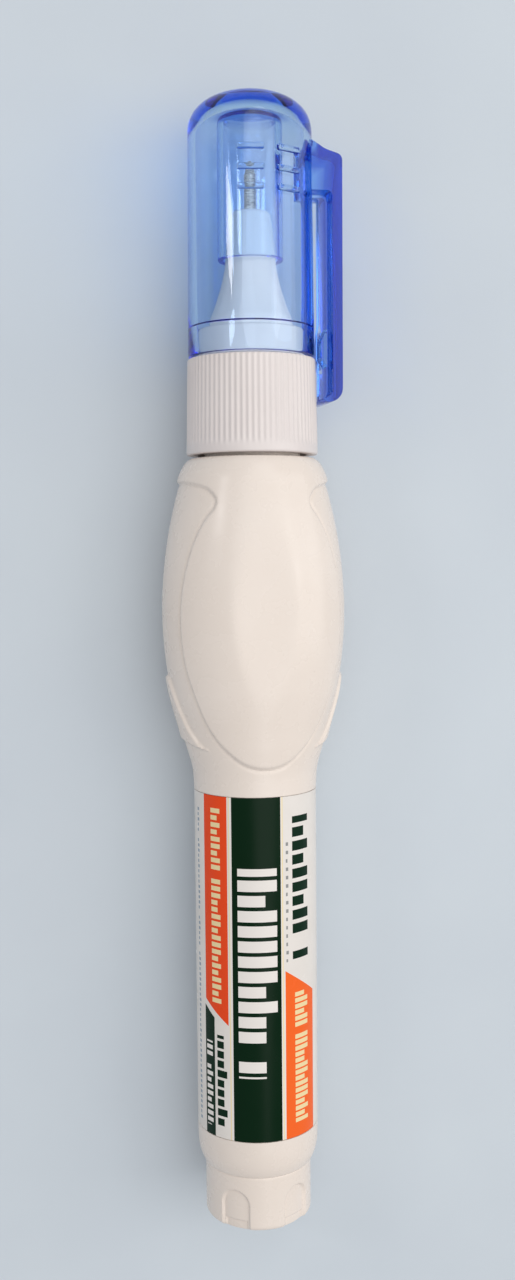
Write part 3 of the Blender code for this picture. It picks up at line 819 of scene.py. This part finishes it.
def make_balls():
    for number in (1, 2):
        low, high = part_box(f"mixing_ball_{number}")
        shape = bmesh.new()
        bmesh.ops.create_icosphere(shape, subdivisions=4, radius=(high.x - low.x) / 2 * 0.998)
        mesh = bpy.data.meshes.new(f"steel_ball_{number}")
        shape.to_mesh(mesh)
        shape.free()
        mesh.transform(Matrix.Translation((low + high) / 2))
        mesh.shade_smooth()
        ball = bpy.data.objects.new(mesh.name, mesh)
        bpy.context.scene.collection.objects.link(ball)
        finish_piece(ball, STEEL, "steel", f"ball_{number}", f"mixing_ball_{number}")


def finish_cad_node(name, material):
    """Give a carried-over CAD node its material."""
    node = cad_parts[name]
    node.data.materials.clear()
    node.data.materials.append(material)


make_bottle()
make_label()
make_nozzle()
make_tip()
make_needle()
make_spring()
make_cap()
make_balls()
finish_cad_node("spring_stop", NOZZLE)


# ---------------------------------------------------------------- stage


# Metres; the clear cap's walls need many bounces, or its edges turn black
FLOOR_HALF = 1.5
WORLD_STRENGTH = 0.45
LIGHT_BOUNCES = 48

# Name, direction from the pen, distance, width, height, watts and colour
LIGHTS = (
    ("key", (0.90, 0.10, 0.62), 0.60, 0.35, 0.50, 0.85, (1.0, 0.98, 0.95)),
    ("top", (0.15, 0.15, 1.0), 0.70, 0.80, 0.80, 2.70, (1.0, 0.99, 0.97)),
    ("glint", (-0.72, 0.34, 0.65), 0.50, 0.04, 0.09, 0.12, (1.0, 0.98, 0.98)),
)

# The photograph's camera, in the pen's frame and in millimetres from its base end and axis
ROLL_ROUND_AXIS = math.radians(10.0)
FOCAL_PIXELS = 1310.0
IMAGE_HEIGHT = 1280
SENSOR_HEIGHT = 36.0
TILT = math.atan(100 / FOCAL_PIXELS)
CAMERA_HEIGHT = 154.57
CAMERA_ALONG = 81.13
CAMERA_ACROSS = 0.44
IMAGE_ROLL = 0.00857


def soft_light(name, toward, distance, width, height, power, color):
    lamp = bpy.data.lights.new(name, "AREA")
    lamp.shape = "RECTANGLE"
    lamp.size = width
    lamp.size_y = height
    lamp.energy = power
    lamp.color = color
    lit = bpy.data.objects.new(name, lamp)
    bpy.context.scene.collection.objects.link(lit)
    toward = Vector(toward).normalized()
    lit.location = Vector((0, 0, AXIS_Z)) + toward * distance
    lit.rotation_mode = "QUATERNION"
    lit.rotation_quaternion = toward.to_track_quat("Z", "Y")


def make_stage():
    shape = bmesh.new()
    bmesh.ops.create_grid(shape, x_segments=1, y_segments=1, size=FLOOR_HALF)
    mesh = bpy.data.meshes.new("floor")
    shape.to_mesh(mesh)
    shape.free()
    mesh.materials.append(floor_material())
    floor = bpy.data.objects.new("floor", mesh)
    bpy.context.scene.collection.objects.link(floor)

    world = bpy.data.worlds.new("studio")
    world.use_nodes = True
    background = world.node_tree.nodes["Background"]
    background.inputs["Color"].default_value = (0.95, 0.97, 1.0, 1.0)
    background.inputs["Strength"].default_value = WORLD_STRENGTH
    bpy.context.scene.world = world
    bpy.context.scene.view_settings.view_transform = "Standard"
    light_paths = bpy.context.scene.cycles
    light_paths.max_bounces = LIGHT_BOUNCES
    light_paths.glossy_bounces = LIGHT_BOUNCES
    light_paths.transmission_bounces = LIGHT_BOUNCES
    for light in LIGHTS:
        soft_light(*light)


def make_camera():
    """The photograph's camera: nearly straight down on the pen, which is turned a little towards the clip."""
    lens = bpy.data.cameras.new("camera")
    lens.sensor_fit = "VERTICAL"
    lens.sensor_height = SENSOR_HEIGHT
    lens.lens = SENSOR_HEIGHT * FOCAL_PIXELS / IMAGE_HEIGHT
    lens.clip_start = 0.01
    lens.clip_end = 10.0
    camera = bpy.data.objects.new("camera", lens)
    bpy.context.scene.collection.objects.link(camera)
    forward = Vector((0, -math.sin(TILT), -math.cos(TILT)))
    down = Vector((0, -math.cos(TILT), math.sin(TILT)))
    right = (Vector((1, 0, 0)) + IMAGE_ROLL * down).normalized()
    up = (-forward).cross(right)
    axes = Matrix((right, up, -forward)).transposed().to_4x4()
    eye = Matrix.Translation((CAMERA_ACROSS * MM, CAMERA_ALONG * MM, CAMERA_HEIGHT * MM)) @ axes
    turn = Matrix.Rotation(-ROLL_ROUND_AXIS, 4, "Y")
    camera.matrix_world = Matrix.Translation((0, BASE_Y, AXIS_Z)) @ turn @ eye
    bpy.context.scene.camera = camera


make_stage()
make_camera()
